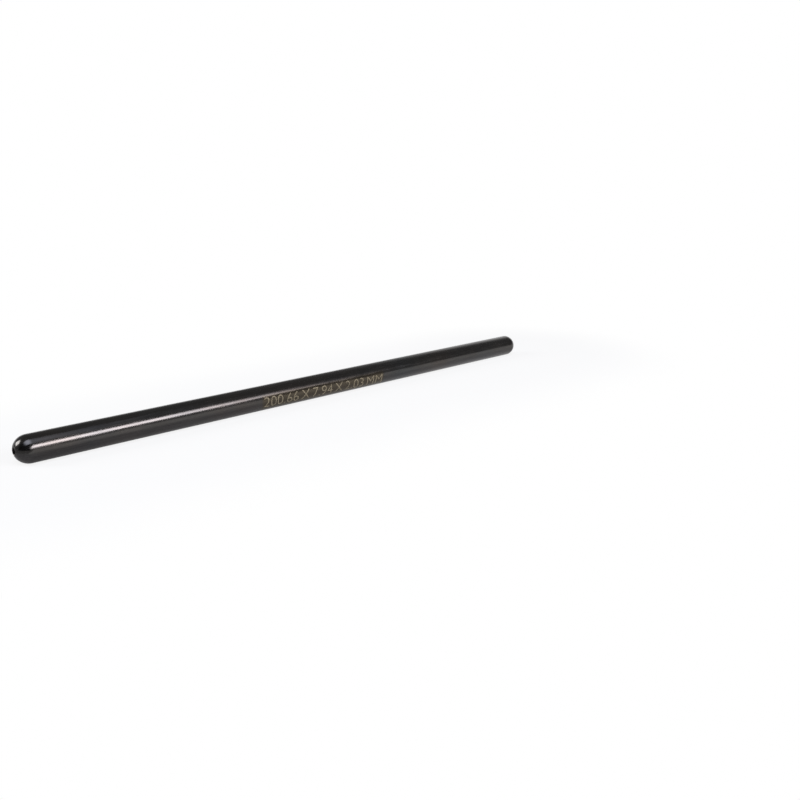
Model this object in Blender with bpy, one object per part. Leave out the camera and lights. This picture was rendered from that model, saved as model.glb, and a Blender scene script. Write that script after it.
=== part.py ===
# Engine pushrod, made in one piece from heavy-wall seamless steel tube.
# Each end of the tube is closed down to a ball of the tube's own diameter,
# and an oil hole is drilled through each ball into the bore.
# The rod lies along X, with its mid-length on the axis at the origin.

import math

import bmesh
import bpy

INCH = 0.0254

# Sizes that the rod is ordered by
OVERALL_LENGTH = 7.900 * INCH
TUBE_DIAMETER = 0.3125 * INCH
WALL_THICKNESS = 0.080 * INCH

# Oil hole in each ball end, and the chamfer on its outer rim
OIL_HOLE_DIAMETER = 0.080 * INCH
RIM_CHAMFER = 0.006 * INCH

# Fineness of the turned surfaces, and the angle from which an edge is shaded sharp
TURN_SEGMENTS = 72
BALL_ARC_STEPS = 14
BORE_ARC_STEPS = 8
SHARP_EDGE_ANGLE = math.radians(30.0)

# Finish: black oxide over ground steel
BLACK_OXIDE = {
    "Base Color": (0.021, 0.020, 0.019, 1.0),
    "Roughness": 0.26,
    "Metallic": 0.55,
}

BALL_RADIUS = TUBE_DIAMETER / 2
BORE_RADIUS = BALL_RADIUS - WALL_THICKNESS
OIL_HOLE_RADIUS = OIL_HOLE_DIAMETER / 2
RIM_RADIUS = OIL_HOLE_RADIUS + RIM_CHAMFER


def clear_scene():
    for obj in list(bpy.data.objects):
        bpy.data.objects.remove(obj, do_unlink=True)


def arc(centre_x, radius, start_angle, end_angle, steps):
    """Points (x, r) along an arc about a centre on the axis, with angles from the axis."""
    points = []
    for step in range(steps + 1):
        angle = start_angle + (end_angle - start_angle) * step / steps
        points.append((centre_x + radius * math.cos(angle), radius * math.sin(angle)))
    return points


def end_profile():
    """The +X end's section, from the tube's outside over the ball and back along the bore."""
    tip_x = OVERALL_LENGTH / 2
    rim_angle = math.asin(RIM_RADIUS / BALL_RADIUS)
    ball_centre_x = tip_x - BALL_RADIUS * math.cos(rim_angle)
    ball = arc(ball_centre_x, BALL_RADIUS, math.pi / 2, rim_angle, BALL_ARC_STEPS)
    chamfer_foot = (tip_x - RIM_CHAMFER, OIL_HOLE_RADIUS)
    # The bore closes concentric with the ball, so the formed end keeps the tube's wall
    throat_angle = math.asin(OIL_HOLE_RADIUS / BORE_RADIUS)
    bore_end = arc(ball_centre_x, BORE_RADIUS, throat_angle, math.pi / 2, BORE_ARC_STEPS)
    return ball + [chamfer_foot] + bore_end


def rod_profile():
    """The whole section as a closed loop: one end, then its mirror image."""
    right = end_profile()
    left = [(-x, r) for x, r in reversed(right)]
    return right + left


def turned_mesh(name, profile):
    """The section turned once about the X axis."""
    bm = bmesh.new()
    corners = [bm.verts.new((x, 0.0, r)) for x, r in profile]
    sides = [bm.edges.new((a, b)) for a, b in zip(corners, corners[1:] + corners[:1])]
    bmesh.ops.spin(
        bm,
        geom=corners + sides,
        cent=(0.0, 0.0, 0.0),
        axis=(1.0, 0.0, 0.0),
        angle=math.tau,
        steps=TURN_SEGMENTS,
        use_merge=True,
    )
    bmesh.ops.recalc_face_normals(bm, faces=bm.faces)
    mesh = bpy.data.meshes.new(name)
    bm.to_mesh(mesh)
    bm.free()
    mesh.shade_smooth()
    mesh.set_sharp_from_angle(angle=SHARP_EDGE_ANGLE)
    return mesh


def black_oxide_steel():
    material = bpy.data.materials.new("black_oxide_steel")
    material.use_nodes = True
    shader = material.node_tree.nodes["Principled BSDF"]
    for setting, value in BLACK_OXIDE.items():
        shader.inputs[setting].default_value = value
    material.diffuse_color = BLACK_OXIDE["Base Color"]
    return material


def make_pushrod():
    mesh = turned_mesh("pushrod", rod_profile())
    mesh.materials.append(black_oxide_steel())
    pushrod = bpy.data.objects.new("pushrod", mesh)
    bpy.context.scene.collection.objects.link(pushrod)
    return pushrod


clear_scene()
make_pushrod()
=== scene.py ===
import math

import bpy
from mathutils import Matrix, Vector


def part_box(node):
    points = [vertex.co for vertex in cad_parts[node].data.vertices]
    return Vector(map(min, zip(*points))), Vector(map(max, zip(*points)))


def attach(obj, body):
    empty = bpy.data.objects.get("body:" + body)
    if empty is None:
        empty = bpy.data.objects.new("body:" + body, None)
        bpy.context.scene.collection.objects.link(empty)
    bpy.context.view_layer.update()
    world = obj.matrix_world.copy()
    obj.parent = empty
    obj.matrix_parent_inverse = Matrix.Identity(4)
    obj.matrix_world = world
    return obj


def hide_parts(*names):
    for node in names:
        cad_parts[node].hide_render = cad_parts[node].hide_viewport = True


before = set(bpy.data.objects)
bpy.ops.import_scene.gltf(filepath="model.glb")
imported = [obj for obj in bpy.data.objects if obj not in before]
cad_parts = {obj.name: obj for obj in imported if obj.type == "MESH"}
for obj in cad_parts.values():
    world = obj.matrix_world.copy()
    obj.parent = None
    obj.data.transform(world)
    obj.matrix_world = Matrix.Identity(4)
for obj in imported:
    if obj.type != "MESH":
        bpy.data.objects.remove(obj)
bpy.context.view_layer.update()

inch = 0.0254
millimetre = 0.001

rodLow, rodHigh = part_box("pushrod")
halfLength = (rodHigh.x - rodLow.x) / 2
tubeRadius = (rodHigh.z - rodLow.z) / 2
floorHeight = rodLow.z
longMm, acrossMm = (round(2 * half / millimetre, 3) for half in (halfLength, tubeRadius))
print("frame loaded: rod", longMm, "mm long,", acrossMm, "mm across")


# helpers for modelling with operators

def deselectAll():
    if bpy.context.mode != "OBJECT":
        bpy.ops.object.mode_set(mode="OBJECT")
    bpy.ops.object.select_all(action="DESELECT")


def makeActive(piece):
    deselectAll()
    piece.select_set(True)
    bpy.context.view_layer.objects.active = piece


def applyPlace(piece):
    makeActive(piece)
    bpy.ops.object.transform_apply(location=True, rotation=True, scale=True)


def editWhole():
    # edit mode with the whole mesh selected
    bpy.ops.object.mode_set(mode="EDIT")
    bpy.ops.mesh.select_all(action="SELECT")


def turnFacesOut():
    # ends an edit of the whole mesh
    bpy.ops.mesh.normals_make_consistent(inside=False)
    bpy.ops.object.mode_set(mode="OBJECT")


# the pushrod: one ring walked along the whole section, over the balls and back through the bore

pushrod = dict(
    sides=192,
    wall=0.080 * inch,
    oilHole=0.080 * inch / 2,  # radius
    chamfer=0.006 * inch,
    edgeRound=0.00004,  # rounding of the edges at the oil holes
    edgeSteps=3,
    edgeAngle=math.radians(30),  # edges sharper than this are rounded
    ballSteps=26,
    boreSteps=12,
    tubeRing=0.004,  # spacing of the rings along the tube
    junctionRing=0.0002,  # extra ring that keeps the tube's shading straight up to the ball
    weld=0.000001,  # points nearer than this are one
)
boreRadius = tubeRadius - pushrod["wall"]
rimRadius = pushrod["oilHole"] + pushrod["chamfer"]
ballCentre = halfLength - math.sqrt(tubeRadius ** 2 - rimRadius ** 2)


def arcStations(radius, startAngle, endAngle, steps):
    # stations round the ball's centre, angles measured from the rod's axis
    stations = []
    for step in range(steps + 1):
        angle = startAngle + (endAngle - startAngle) * step / steps
        stations.append((ballCentre + radius * math.cos(angle), radius * math.sin(angle)))
    return stations


def straightStations(fromX, toX, radius):
    # rings between two junctions, both left out
    sign = 1 if toX > fromX else -1
    first = fromX + sign * pushrod["junctionRing"]
    last = toX - sign * pushrod["junctionRing"]
    count = round(abs(last - first) / pushrod["tubeRing"])
    return [(first + (last - first) * i / count, radius) for i in range(count + 1)]


def rodStations():
    # (x, radius) all the way round the section: right end, bore, left end and tube
    rimAngle = math.asin(rimRadius / tubeRadius)
    throatAngle = math.asin(pushrod["oilHole"] / boreRadius)
    ball = arcStations(tubeRadius, math.pi / 2, rimAngle, pushrod["ballSteps"])
    foot = [(halfLength - pushrod["chamfer"], pushrod["oilHole"])]
    boreEnd = arcStations(boreRadius, throatAngle, math.pi / 2, pushrod["boreSteps"])
    right = ball + foot + boreEnd
    left = [(-x, r) for x, r in reversed(right)]
    tube = straightStations(-ballCentre, ballCentre, tubeRadius)
    bore = straightStations(ballCentre, -ballCentre, boreRadius)
    return right + bore + left + tube


def makePushrod():
    stations = rodStations()
    x, r = stations[0]
    deselectAll()
    bpy.ops.mesh.primitive_circle_add(
        vertices=pushrod["sides"], radius=r, fill_type="NOTHING",
        location=(x, 0, 0), rotation=(0, math.pi / 2, 0),
    )
    piece = bpy.context.object
    piece.name = "pushrodBody"
    applyPlace(piece)
    editWhole()
    for nextX, nextR in stations[1:] + stations[:1]:
        bpy.ops.mesh.extrude_edges_move(TRANSFORM_OT_translate={"value": (nextX - x, 0, 0)})
        if abs(nextR - r) > pushrod["weld"]:
            bpy.ops.transform.resize(value=(1, nextR / r, nextR / r), center_override=(nextX, 0, 0))
        x, r = nextX, nextR
    bpy.ops.mesh.select_all(action="SELECT")
    bpy.ops.mesh.remove_doubles(threshold=pushrod["weld"])
    turnFacesOut()
    rounding = piece.modifiers.new("edgeRound", "BEVEL")
    rounding.width = pushrod["edgeRound"]
    rounding.segments = pushrod["edgeSteps"]
    rounding.limit_method = "ANGLE"
    rounding.angle_limit = pushrod["edgeAngle"]
    bpy.ops.object.modifier_apply(modifier=rounding.name)
    bpy.ops.object.shade_smooth()
    print("pushrod modelled:", len(piece.data.polygons), "faces")
    return piece


def paintBore(piece, boreSlot):
    # the faces of the bore, its closed ends and the two oil holes get the second material
    boreEnd = ballCentre + boreRadius
    boreReach = boreRadius + pushrod["edgeRound"]
    holeReach = pushrod["oilHole"] + pushrod["edgeRound"] / 4  # the chamfer keeps the outer finish
    for face in piece.data.polygons:
        x, y, z = face.center
        r = math.hypot(y, z)
        if r < holeReach or (r < boreReach and abs(x) < boreEnd):
            face.material_index = boreSlot


# the etched size figures, in plain numbers: length, diameter and wall

sizeMark = dict(
    figures="200.66 X 7.94 X 2.03 MM",
    middle=-0.0014,  # along the rod
    width=0.0501,
    height=0.0035,
    middleAngle=math.radians(-13),  # how far above the horizontal the line's middle lies on the rod
    lean=math.radians(-8),  # and how far its end has slipped round the rod since its start
    proud=0.000008,  # above the rod's surface
    depth=0.00003,  # in all, so most of it is sunk in the rod
    bold=-0.01,  # stroke offset, in text sizes
    halfThickness=0.5,  # of the raw text, which is then pressed to the depth
    wordGap=0.6,  # share of the font's own
    curveSteps=6,
    slice=0.00012,  # height of the slices that bend it
    weld=0.0000001,
)


def fitToSpans(piece, spans):
    # stretches a mesh to these three spans and centres it on the origin
    points = piece.data.vertices
    for i, span in enumerate(spans):
        low = min(v.co[i] for v in points)
        high = max(v.co[i] for v in points)
        for v in points:
            v.co[i] = ((v.co[i] - low) / (high - low) - 0.5) * span


def wrapRound(piece, values):
    # lays a flat mesh on the front of the tube, its x along the rod and its y up
    for v in piece.data.vertices:
        along, up, out = v.co
        angle = values["middleAngle"] + values["lean"] * along / values["width"] + up / tubeRadius
        reach = tubeRadius + values["proud"] - values["depth"] / 2 + out
        v.co = Vector((values["middle"] + along, -reach * math.cos(angle), reach * math.sin(angle)))


def makeSizeMark():
    deselectAll()
    bpy.ops.object.text_add()
    piece = bpy.context.object
    piece.name = "sizeFigures"
    piece.data.body = sizeMark["figures"]
    piece.data.resolution_u = sizeMark["curveSteps"]
    piece.data.offset = sizeMark["bold"]
    piece.data.space_word = sizeMark["wordGap"]
    piece.data.extrude = sizeMark["halfThickness"]
    bpy.ops.object.convert(target="MESH")
    fitToSpans(piece, [sizeMark["width"], sizeMark["height"], sizeMark["depth"]])
    makeActive(piece)
    editWhole()
    bpy.ops.mesh.remove_doubles(threshold=sizeMark["weld"])
    # cut into slices across its height, so that it bends with the tube
    cuts = round(sizeMark["height"] / sizeMark["slice"])
    for i in range(1, cuts):
        level = sizeMark["height"] * (i / cuts - 0.5)
        bpy.ops.mesh.select_all(action="SELECT")
        bpy.ops.mesh.bisect(plane_co=(0, level, 0), plane_no=(0, 1, 0))
    bpy.ops.object.mode_set(mode="OBJECT")
    wrapRound(piece, sizeMark)
    editWhole()
    turnFacesOut()
    print("size figures modelled:", len(piece.data.polygons), "faces")
    return piece


# helpers for node trees

def addNode(tree, kind, **settings):
    node = tree.nodes.new(kind)
    for name, value in settings.items():
        setattr(node, name, value)
    return node


def plug(tree, source, socket):
    # a link where the source is a socket, or else a plain value
    if isinstance(source, bpy.types.NodeSocket):
        tree.links.new(source, socket)
    else:
        socket.default_value = source


def mathOf(tree, operation, *sources):
    node = addNode(tree, "ShaderNodeMath", operation=operation)
    for source, socket in zip(sources, node.inputs):
        plug(tree, source, socket)
    return node.outputs[0]


def mapOf(tree, value, fromRange, toRange, smooth=False):
    # low and high of each range
    node = addNode(tree, "ShaderNodeMapRange", interpolation_type="SMOOTHSTEP" if smooth else "LINEAR")
    sources = [value, *fromRange, *toRange]
    for source, name in zip(sources, ["Value", "From Min", "From Max", "To Min", "To Max"]):
        plug(tree, source, node.inputs[name])
    return node.outputs["Result"]


def mixOf(tree, factor, first, second):
    node = addNode(tree, "ShaderNodeMix", data_type="RGBA")
    for source, name in zip([factor, first, second], ["Factor_Float", "A_Color", "B_Color"]):
        plug(tree, source, next(s for s in node.inputs if s.identifier == name))
    return next(s for s in node.outputs if s.identifier == "Result_Color")


def splitOf(tree, vector):
    node = addNode(tree, "ShaderNodeSeparateXYZ")
    tree.links.new(vector, node.inputs[0])
    return node.outputs


def coordinates(tree, kind):
    return addNode(tree, "ShaderNodeTexCoord").outputs[kind]


def newGroup(name, inputs, output):
    group = bpy.data.node_groups.new(name, "ShaderNodeTree")
    for title, kind in inputs.items():
        group.interface.new_socket(title, in_out="INPUT", socket_type="NodeSocket" + kind)
    group.interface.new_socket(output, in_out="OUTPUT", socket_type="NodeSocketFloat")
    return group, addNode(group, "NodeGroupInput"), addNode(group, "NodeGroupOutput")


def useGroup(tree, group, *sources):
    node = addNode(tree, "ShaderNodeGroup", node_tree=group)
    for source, socket in zip(sources, node.inputs):
        plug(tree, source, socket)
    return node.outputs[0]


# effects that the finishes share

mottleNoise = dict(
    detail=4,
    roughness=0.6,
    used=(0.3, 0.7),  # the part of the noise that is spread between the two values
)
toolLineNoise = dict(scale=1, detail=2)


def makeMottle():
    # soft clouding between two values, used for tint, gloss and worn places
    inputs = dict(Vector="Vector", Scale="Float", Low="Float", High="Float")
    group, given, out = newGroup("mottle", inputs, "Value")
    noise = addNode(group, "ShaderNodeTexNoise")
    noise.inputs["Detail"].default_value = mottleNoise["detail"]
    noise.inputs["Roughness"].default_value = mottleNoise["roughness"]
    group.links.new(given.outputs["Vector"], noise.inputs["Vector"])
    group.links.new(given.outputs["Scale"], noise.inputs["Scale"])
    ends = (given.outputs["Low"], given.outputs["High"])
    group.links.new(mapOf(group, noise.outputs["Fac"], mottleNoise["used"], ends), out.inputs["Value"])
    return group


def makeToolLines():
    # fine uneven lines left by a tool; Stretch is lines per metre along each axis
    group, given, out = newGroup("toolLines", dict(Vector="Vector", Stretch="Vector"), "Height")
    stretch = addNode(group, "ShaderNodeVectorMath", operation="MULTIPLY")
    noise = addNode(group, "ShaderNodeTexNoise")
    noise.inputs["Scale"].default_value = toolLineNoise["scale"]
    noise.inputs["Detail"].default_value = toolLineNoise["detail"]
    group.links.new(given.outputs["Vector"], stretch.inputs[0])
    group.links.new(given.outputs["Stretch"], stretch.inputs[1])
    group.links.new(stretch.outputs[0], noise.inputs["Vector"])
    group.links.new(noise.outputs["Fac"], out.inputs["Height"])
    return group


mottle = makeMottle()
toolLines = makeToolLines()


def newMaterial(name):
    material = bpy.data.materials.new(name)
    material.use_nodes = True
    print("finish:", name)
    return material, material.node_tree, material.node_tree.nodes["Principled BSDF"]


def addBump(tree, shader, height, distance):
    bump = addNode(tree, "ShaderNodeBump")
    bump.inputs["Distance"].default_value = distance
    tree.links.new(height, bump.inputs["Height"])
    tree.links.new(bump.outputs["Normal"], shader.inputs["Normal"])


# black oxide over ground steel

blackOxide = dict(
    warm=(0.0780, 0.0690, 0.0635, 1),
    cool=(0.0630, 0.0635, 0.0640, 1),
    patches=(45, 0, 1),  # clouding is given as its scale and the two values it runs between
    grain=(2400, 0.93, 1.07),
    metallic=0.96,
    gloss=(260, 0.17, 0.23),  # roughness of the tube
    ballGloss=-0.04,  # and how far it changes on the balls
    streaks=(120, 2500, 2500),  # drawing lines along the rod
    streakRange=(0.38, 0.62),  # the part of their noise that is used
    streakTint=(0.92, 1.08),
    streakGloss=(-0.02, 0.02),
    grinding=(9000, 300, 300),  # lines round the rod
    grindingDepth=0.0000005,
    rubs=(70, 2600, 2600),  # hairline rubs along the rod
    rubRange=(0.66, 0.72),
    rubZones=(60, -0.18, 0.6),
    rubbed=(0.125, 0.115, 0.105, 1),
    rubGloss=0.08,
    browned=(0.0790, 0.0665, 0.0500, 1),  # oxide browned by the heat of the etching, round the figures
    brownedEdge=0.0012,
    steel=(0.15, 0.14, 0.13, 1),
    rimWear=0.00012,  # width of the worn edge round each oil hole
    flaking=(2600, 0.1, 0.9),
)


def etchingHeat(tree, spot):
    # the patch of the rod's front that the figures stand on, with a soft edge
    middles = (sizeMark["middle"], tubeRadius * math.sin(sizeMark["middleAngle"]))
    spans = (sizeMark["width"], sizeMark["height"])
    patch = mathOf(tree, "LESS_THAN", spot["Y"], 0)
    for axis, middle, span in zip("XZ", middles, spans):
        aside = mathOf(tree, "ABSOLUTE", mathOf(tree, "SUBTRACT", spot[axis], middle))
        edge = (span / 2, span / 2 + blackOxide["brownedEdge"])
        patch = mathOf(tree, "MULTIPLY", patch, mapOf(tree, aside, edge, (1, 0), smooth=True))
    return patch


def rimWear(tree, spot, along):
    # the worn edge round each oil hole
    width = blackOxide["rimWear"]
    across = mathOf(tree, "MULTIPLY", spot["Y"], spot["Y"])
    radius = mathOf(tree, "SQRT", mathOf(tree, "MULTIPLY_ADD", spot["Z"], spot["Z"], across))
    atTip = mapOf(tree, along, (halfLength - 2 * width, halfLength - width), (0, 1))
    atRim = mapOf(tree, radius, (rimRadius, rimRadius + width), (1, 0), smooth=True)
    return mathOf(tree, "MULTIPLY", atTip, atRim)


def makeBlackOxide():
    values = blackOxide
    material, tree, shader = newMaterial("blackOxideSteel")
    place = coordinates(tree, "Object")
    spot = splitOf(tree, place)
    along = mathOf(tree, "ABSOLUTE", spot["X"])  # distance from the rod's middle
    # colour: clouded oxide, browned round the figures, with streaks and a fine grain
    patches = useGroup(tree, mottle, place, *values["patches"])
    oxide = mixOf(tree, patches, values["warm"], values["cool"])
    oxide = mixOf(tree, etchingHeat(tree, spot), oxide, values["browned"])
    grain = useGroup(tree, mottle, place, *values["grain"])
    streaks = useGroup(tree, toolLines, place, values["streaks"])
    streakTint = mapOf(tree, streaks, values["streakRange"], values["streakTint"])
    tint = addNode(tree, "ShaderNodeVectorMath", operation="SCALE")
    tree.links.new(oxide, tint.inputs[0])
    tree.links.new(mathOf(tree, "MULTIPLY", grain, streakTint), tint.inputs["Scale"])
    rubLines = useGroup(tree, toolLines, place, values["rubs"])
    rubLines = mapOf(tree, rubLines, values["rubRange"], (0, 1), smooth=True)
    rubs = mathOf(tree, "MULTIPLY", rubLines, useGroup(tree, mottle, place, *values["rubZones"]))
    rubbed = mixOf(tree, rubs, tint.outputs[0], values["rubbed"])
    # bright steel shows where the oxide has flaked off the rims of the oil holes
    flaking = useGroup(tree, mottle, place, *values["flaking"])
    wear = mathOf(tree, "MULTIPLY", rimWear(tree, spot, along), flaking)
    tree.links.new(mixOf(tree, wear, rubbed, values["steel"]), shader.inputs["Base Color"])
    tree.links.new(mapOf(tree, wear, (0, 1), (values["metallic"], 1)), shader.inputs["Metallic"])
    # gloss: clouded, streaked, higher on the balls and lower on the rubs
    junction = (ballCentre, ballCentre + pushrod["junctionRing"])
    onBall = mapOf(tree, along, junction, (0, values["ballGloss"]))
    gloss = mathOf(tree, "ADD", useGroup(tree, mottle, place, *values["gloss"]), onBall)
    gloss = mathOf(tree, "ADD", gloss, mapOf(tree, streaks, values["streakRange"], values["streakGloss"]))
    tree.links.new(mathOf(tree, "MULTIPLY_ADD", rubs, values["rubGloss"], gloss), shader.inputs["Roughness"])
    addBump(tree, shader, useGroup(tree, toolLines, place, values["grinding"]), values["grindingDepth"])
    return material


# two matt finishes, each of two clouded colours with tool lines in relief

boreScale = dict(
    colours=((0.016, 0.014, 0.013, 1), (0.040, 0.030, 0.024, 1)),  # dark and brown mill scale
    patches=(700, 0, 1),
    gloss=(900, 0.42, 0.6),
    metallic=0.6,
    lines=(60, 7000, 7000),  # lengthwise lines of the drawn tube
    lineDepth=0.000004,
)
strawEtch = dict(
    colours=((0.255, 0.217, 0.141, 1), (0.145, 0.121, 0.077, 1)),  # straw and brown
    patches=(500, 0, 1),
    gloss=(1800, 0.42, 0.6),
    metallic=0.35,
    lines=(300, 22000, 22000),  # strokes that hatch the figures
    lineDepth=0.000004,
)


def makeMattFinish(name, values):
    material, tree, shader = newMaterial(name)
    place = coordinates(tree, "Object")
    patches = useGroup(tree, mottle, place, *values["patches"])
    tree.links.new(mixOf(tree, patches, *values["colours"]), shader.inputs["Base Color"])
    tree.links.new(useGroup(tree, mottle, place, *values["gloss"]), shader.inputs["Roughness"])
    shader.inputs["Metallic"].default_value = values["metallic"]
    addBump(tree, shader, useGroup(tree, toolLines, place, values["lines"]), values["lineDepth"])
    return material


# the floor: plain paper that also glows, so that the camera and the metal see it pale; what the metal
# mirrors of it carries a painted shadow along the rod and painted shade left of the near ball

floorSheet = dict(
    radius=4.0,
    sides=96,
    white=0.92,
    shadow=(0.030, 0.075),  # the shadow shows this far from the rod, and has faded here
    shadowGlow=0.84,  # how far the shadow is lifted to white
    contact=(0.006, 0.0155),  # the same zone for what the metal mirrors, where it sees a painted contact shadow
    # in that zone this share of what the metal sees is glow dimmed into painted shadow; the rest is paper
    # with its real shadow
    contactGlow=0.6,
    nearPaintedShadow=0.35,  # brightness of the painted shadow in that zone under the near end
    farPaintedShadow=0.92,  # and of the fainter painted shadow past the middle
    farEdge=(-0.105, 0.058),  # where along the rod the one turns into the other
    leftPaintedShade=0.36,  # painted shade: brightness of all that the near ball mirrors to its left
    paintedShadeEdge=(-0.1060, -0.1040),
    paintedShadeLean=0.25,  # that edge leans to the right with the distance from the rod
)


def raysSeen(tree):
    # three masks: rays from the camera, mirrored or refracted ones, and scattered ones
    path = addNode(tree, "ShaderNodeLightPath")
    mirrored = mathOf(tree, "MAXIMUM", path.outputs["Is Glossy Ray"], path.outputs["Is Transmission Ray"])
    return path.outputs["Is Camera Ray"], mirrored, path.outputs["Is Diffuse Ray"]


def distanceFromRod(tree, spot):
    # measured from its axis, and round its ends
    pastEnd = mathOf(tree, "SUBTRACT", mathOf(tree, "ABSOLUTE", spot["X"]), halfLength)
    pastEnd = mathOf(tree, "MAXIMUM", pastEnd, 0)
    aside = mathOf(tree, "MULTIPLY", spot["Y"], spot["Y"])
    return mathOf(tree, "SQRT", mathOf(tree, "MULTIPLY_ADD", pastEnd, pastEnd, aside))


def makePaper():
    values = floorSheet
    material = bpy.data.materials.new("palePaper")
    material.use_nodes = True
    tree = material.node_tree
    tree.nodes.clear()
    out = addNode(tree, "ShaderNodeOutputMaterial")
    paper = addNode(tree, "ShaderNodeBsdfDiffuse")
    paper.inputs["Color"].default_value = (values["white"], values["white"], values["white"], 1)
    glow = addNode(tree, "ShaderNodeEmission")
    spot = splitOf(tree, coordinates(tree, "Object"))
    distance = distanceFromRod(tree, spot)
    camera, mirrored, scattered = raysSeen(tree)
    # how much of what each kind of ray sees is glow
    shadow = mapOf(tree, distance, values["shadow"], (values["shadowGlow"], 1), smooth=True)
    contact = mapOf(tree, distance, values["contact"], (0, 1), smooth=True)
    contactShare = mapOf(tree, contact, (0, 1), (values["contactGlow"], 1))
    cameraShare = mathOf(tree, "MULTIPLY", shadow, camera)
    share = mathOf(tree, "MULTIPLY_ADD", contactShare, mirrored, cameraShare)
    # and how bright the metal sees that glow: white, dimmed into painted shadow near the rod and into
    # painted shade left of the near ball
    ends = (values["nearPaintedShadow"], values["farPaintedShadow"])
    alongPaintedShadow = mapOf(tree, spot["X"], values["farEdge"], ends)
    paintedShadeLook = mapOf(tree, contact, (0, 1), (alongPaintedShadow, 1))
    # painted shade on the floor left of the near ball, seen only in what the metal mirrors
    leaning = mathOf(tree, "MULTIPLY_ADD", distance, -values["paintedShadeLean"], spot["X"])
    paintedShadeLook = mapOf(tree, leaning, values["paintedShadeEdge"], (values["leftPaintedShade"], paintedShadeLook), smooth=True)
    tree.links.new(mathOf(tree, "MAXIMUM", paintedShadeLook, camera), glow.inputs["Strength"])
    mix = addNode(tree, "ShaderNodeMixShader")
    tree.links.new(share, mix.inputs["Fac"])
    tree.links.new(paper.outputs[0], mix.inputs[1])
    tree.links.new(glow.outputs[0], mix.inputs[2])
    tree.links.new(mix.outputs[0], out.inputs["Surface"])
    return material


def makeFloor():
    deselectAll()
    bpy.ops.mesh.primitive_circle_add(
        vertices=floorSheet["sides"], radius=floorSheet["radius"], fill_type="NGON",
        location=(0, 0, floorHeight),
    )
    floor = bpy.context.object
    floor.name = "paleFloor"
    applyPlace(floor)
    floor.data.materials.append(makePaper())
    return floor


# the world: plain white to the camera, a white sweep and a dim room to the metal

studio = dict(
    white=(0.150, 0.185, 0.055),  # the white sweep lies below this tilted plane: slope in x, in y, height
    edge=0.06,  # its soft edge reaches this far to both sides of the plane
    room=0.205,  # radiance of the dim room above the sweep
    dark=(-0.74, -0.62, 0.26),  # the room is darker round this direction
    darkRoom=0.03,
    darkEdge=(0.55, 0.8),  # as cosines
    card=(0.9, 0.38, 0.3),  # and a pale card stands in this one
    cardEdge=(0.9, 1),
    cardRoom=1.35,
    plainLight=0.05,  # radiance that lights matt surfaces
)


def facing(tree, ray, direction):
    # how nearly a ray runs in this direction, as a cosine
    node = addNode(tree, "ShaderNodeVectorMath", operation="DOT_PRODUCT")
    tree.links.new(ray, node.inputs[0])
    node.inputs[1].default_value = Vector(direction).normalized()
    return node.outputs["Value"]


def makeWorld():
    values = studio
    world = bpy.data.worlds.new("studio")
    bpy.context.scene.world = world
    world.use_nodes = True
    tree = world.node_tree
    tree.nodes.clear()
    out = addNode(tree, "ShaderNodeOutputWorld")
    back = addNode(tree, "ShaderNodeBackground")
    back.inputs["Color"].default_value = (1, 1, 1, 1)
    ray = coordinates(tree, "Generated")
    spot = splitOf(tree, ray)
    slopeX, slopeY, height = values["white"]
    level = mathOf(tree, "MULTIPLY_ADD", spot["Y"], slopeY, height)
    level = mathOf(tree, "MULTIPLY_ADD", spot["X"], slopeX, level)
    above = mathOf(tree, "SUBTRACT", spot["Z"], level)
    towardDark = facing(tree, ray, values["dark"])
    towardCard = facing(tree, ray, values["card"])
    room = mapOf(tree, towardDark, values["darkEdge"], (values["room"], values["darkRoom"]), smooth=True)
    room = mapOf(tree, towardCard, values["cardEdge"], (room, values["cardRoom"]), smooth=True)
    mirror = mapOf(tree, above, (-values["edge"], values["edge"]), (1, room), smooth=True)
    camera, mirrored, scattered = raysSeen(tree)
    strength = mathOf(tree, "MAXIMUM", mathOf(tree, "MULTIPLY", mirror, mirrored), camera)
    strength = mathOf(tree, "MULTIPLY_ADD", scattered, values["plainLight"], strength)
    tree.links.new(strength, back.inputs["Strength"])
    tree.links.new(back.outputs[0], out.inputs["Surface"])


# each lamp is a soft box aimed at a point, its long side turned as near as can be to a direction;
# it is dark at the ends of that side and brightens over its fades, which are shares of the side

lamps = dict(
    frontStrip=dict(
        at=(0.1015, -0.834, 0.330), aim=(-0.209, 0, -0.212), longSide=(1, 0, 0.545),
        size=(1.019, 0.25), radiance=15.9, colour=(0.97, 0.935, 0.98), fades=(0.72, 0.345),
    ),
    overhead=dict(
        at=(-0.25, -0.317, 0.7345), aim=(-0.25, 0, 0), longSide=(1, 0, 0),
        size=(1.13, 0.5), radiance=3.9, colour=(0.78, 0.84, 1), fades=(0.5, 0.476),
    ),
    leftBack=dict(
        at=(-0.6235, 0.45, 0.42), aim=(-0.1, 0, 0), longSide=(0.45, 0.5235, 0.3232),
        size=(0.44, 0.42), radiance=8.6, colour=(1, 1, 1), fades=(0.25, 0.25),
    ),
)


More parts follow.
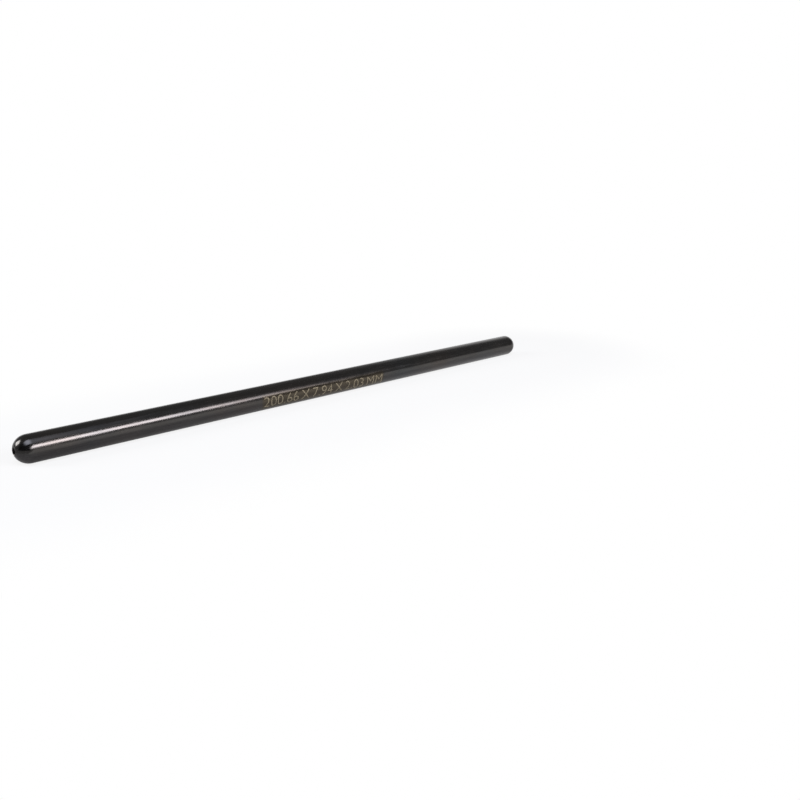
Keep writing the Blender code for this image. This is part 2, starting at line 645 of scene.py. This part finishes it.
def makeSoftbox(name, at, aim, longSide, size, radiance, colour, fades):
    lamp = bpy.data.lights.new(name, "AREA")
    lamp.shape = "RECTANGLE"
    lamp.size, lamp.size_y = size
    lamp.energy = radiance * math.pi * size[0] * size[1]
    lamp.color = colour
    lamp.use_nodes = True
    tree = lamp.node_tree
    share = splitOf(tree, addNode(tree, "ShaderNodeNewGeometry").outputs["Parametric"])["X"]
    rise = mapOf(tree, share, (0, fades[0]), (0, 1), smooth=True)
    fall = mapOf(tree, share, (1 - fades[1], 1), (1, 0), smooth=True)
    tree.links.new(mathOf(tree, "MULTIPLY", rise, fall), tree.nodes["Emission"].inputs["Strength"])
    holder = bpy.data.objects.new(name, lamp)
    bpy.context.scene.collection.objects.link(holder)
    back = (Vector(at) - Vector(aim)).normalized()
    across = Vector(longSide)
    across = (across - back * across.dot(back)).normalized()
    turn = Matrix((across, back.cross(across), back)).transposed()
    holder.matrix_world = Matrix.Translation(at) @ turn.to_4x4()
    holder.visible_camera = False


# the camera, worked out from the rod's outline

cameraView = dict(
    location=(-0.16432, -0.21709, 0.06780),
    azimuth=-45.314,
    elevation=15.215,
    lens=36.336,
    sensor=36,
    shift=-0.045,  # the photo's frame lies to the left of the camera's axis
    clipStart=0.01,
)


def makeCamera():
    data = bpy.data.cameras.new("photoCamera")
    data.lens = cameraView["lens"]
    data.sensor_width = cameraView["sensor"]
    data.shift_x = cameraView["shift"]
    data.clip_start = cameraView["clipStart"]
    camera = bpy.data.objects.new("photoCamera", data)
    bpy.context.scene.collection.objects.link(camera)
    camera.location = cameraView["location"]
    pitch = math.radians(90 - cameraView["elevation"])
    camera.rotation_euler = (pitch, 0, math.radians(cameraView["azimuth"]))
    bpy.context.scene.camera = camera
    print("camera ready")


makeCamera()
body = makePushrod()
body.data.materials.append(makeBlackOxide())
body.data.materials.append(makeMattFinish("boreScale", boreScale))
paintBore(body, boreSlot=1)
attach(body, "root")
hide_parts("pushrod")

mark = makeSizeMark()
mark.data.materials.clear()
mark.data.materials.append(makeMattFinish("strawEtch", strawEtch))
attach(mark, "root")

makeFloor()
makeWorld()
for name, values in lamps.items():
    makeSoftbox(name, **values)
bpy.context.scene.view_settings.view_transform = "Standard"
print("stage, world and lamps ready")
